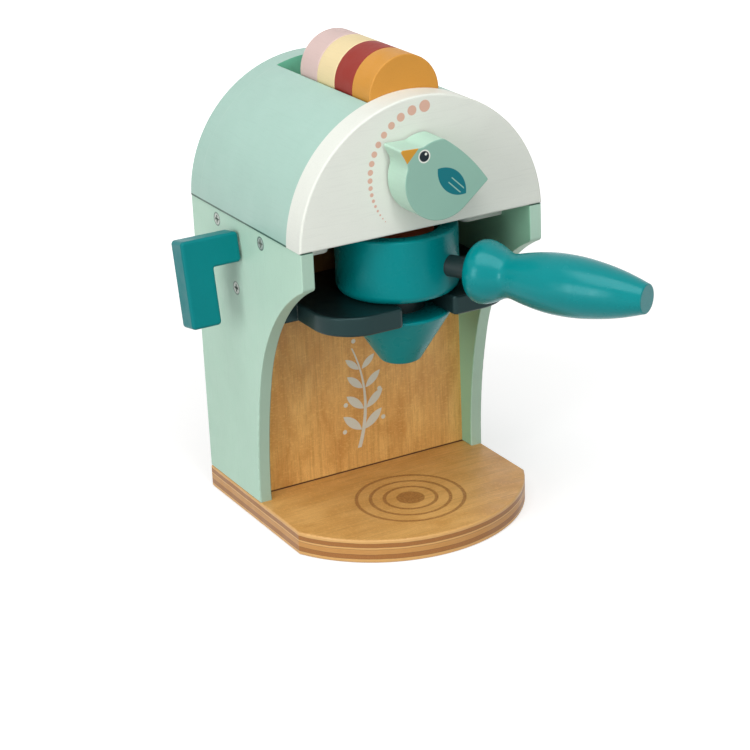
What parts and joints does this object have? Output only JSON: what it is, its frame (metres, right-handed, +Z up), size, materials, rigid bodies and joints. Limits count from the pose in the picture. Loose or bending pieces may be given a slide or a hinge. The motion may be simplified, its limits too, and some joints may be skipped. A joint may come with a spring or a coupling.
{
  "type": "toy coffee maker",
  "caption": "Wooden toy coffee maker with a domed pod hopper, turning bird knob, side lever, forked holder with a removable portafilter, and loose disc pods.",
  "frame": {"origin": "on the table under the base, midway between the side panels' outer faces and midway along their depth", "axes": "+Z up, -Y towards the front of the machine, where the portafilter goes in, +X to the right seen from the front"},
  "size_m": [0.2024, 0.2612, 0.296],
  "materials": {
    "base_ply": "clear-lacquered plywood with burnt rings",
    "back_ply": "clear-lacquered plywood with a pale print",
    "mint_paint": "satin mint paint on wood",
    "front_paint": "satin off-white paint on wood with a printed arc of dots",
    "deck_paint": "satin off-white paint on wood",
    "charcoal_paint": "satin charcoal paint on wood",
    "hidden_wood": "bare sanded wood",
    "screw_steel": "zinc-plated steel",
    "felt": "pressed felt",
    "bird_paint": "satin paint on wood, painted eye, beak and wing",
    "teal_paint": "semi-gloss teal paint on wood",
    "mustard_paint": "satin mustard paint on wood",
    "maroon_paint": "satin maroon paint on wood",
    "cream_paint": "satin pale yellow paint on wood",
    "pink_paint": "satin pale pink paint on wood",
    "terracotta_paint": "satin terracotta paint on wood"
  },
  "bodies": {
    "frame": {"base_plate": "base_ply", "left_side_panel": "mint_paint", "right_side_panel": "mint_paint", "back_panel": "back_ply", "deck_board": "deck_paint", "holder_plate": "charcoal_paint", "hopper_front_plate": "front_paint", "hopper_rear_plate": "mint_paint", "hopper_left_shell": "mint_paint", "hopper_right_shell": "mint_paint", "pod_rest": "hidden_wood", "left_side_screws": "screw_steel", "right_side_screws": "screw_steel", "base_screws": "screw_steel", "holder_screws": "screw_steel", "hopper_screws": "screw_steel", "hopper_dowels": "hidden_wood", "pod_rest_dowels": "hidden_wood"},
    "knob": {"bird_knob": "bird_paint", "knob_spindle": "hidden_wood", "knob_spacer": "felt", "knob_washer": "screw_steel", "knob_screw": "screw_steel"},
    "lever": {"steam_lever": "teal_paint", "lever_spindle": "hidden_wood", "lever_spacer": "felt", "lever_washer": "screw_steel", "lever_screw": "screw_steel"},
    "cup_pod": {"pod_terracotta": "terracotta_paint"},
    "portafilter": {"portafilter_cup": "teal_paint", "portafilter_neck": "teal_paint", "portafilter_funnel": "teal_paint", "portafilter_core_dowel": "hidden_wood", "portafilter_handle_dowel": "charcoal_paint", "portafilter_handle": "teal_paint"},
    "mustard_pod": {"pod_mustard": "mustard_paint"},
    "maroon_pod": {"pod_maroon": "maroon_paint"},
    "cream_pod": {"pod_cream": "cream_paint"},
    "pink_pod": {"pod_pink": "pink_paint"}
  },
  "joints": [
    {"name": "knob_turn", "type": "hinge", "parent": "frame", "child": "knob", "pos_m": [0, -0.07225, 0.2314], "axis": [0, 1, 0], "continuous": true},
    {"name": "lever_turn", "type": "hinge", "parent": "frame", "child": "lever", "pos_m": [-0.0806, 0.0125, 0.1803], "axis": [1, 0, 0], "continuous": true},
    {"name": "portafilter_slide", "type": "slide", "parent": "frame", "child": "cup_pod", "axis": [0, -1, 0], "range_m": [0, 0.06]},
    {"name": "portafilter_turn", "type": "hinge", "parent": "cup_pod", "child": "portafilter", "pos_m": [0, -0.0385, 0.17], "axis": [0, 0, 1], "range_deg": [-78, 22]},
    {"name": "mustard_pod_lift", "type": "slide", "parent": "frame", "child": "mustard_pod", "axis": [0, 0, 1], "range_m": [0, 0.06]},
    {"name": "maroon_pod_lift", "type": "slide", "parent": "frame", "child": "maroon_pod", "axis": [0, 0, 1], "range_m": [0, 0.06]},
    {"name": "cream_pod_lift", "type": "slide", "parent": "frame", "child": "cream_pod", "axis": [0, 0, 1], "range_m": [0, 0.06]},
    {"name": "pink_pod_lift", "type": "slide", "parent": "frame", "child": "pink_pod", "axis": [0, 0, 1], "range_m": [0, 0.06]}
  ]
}
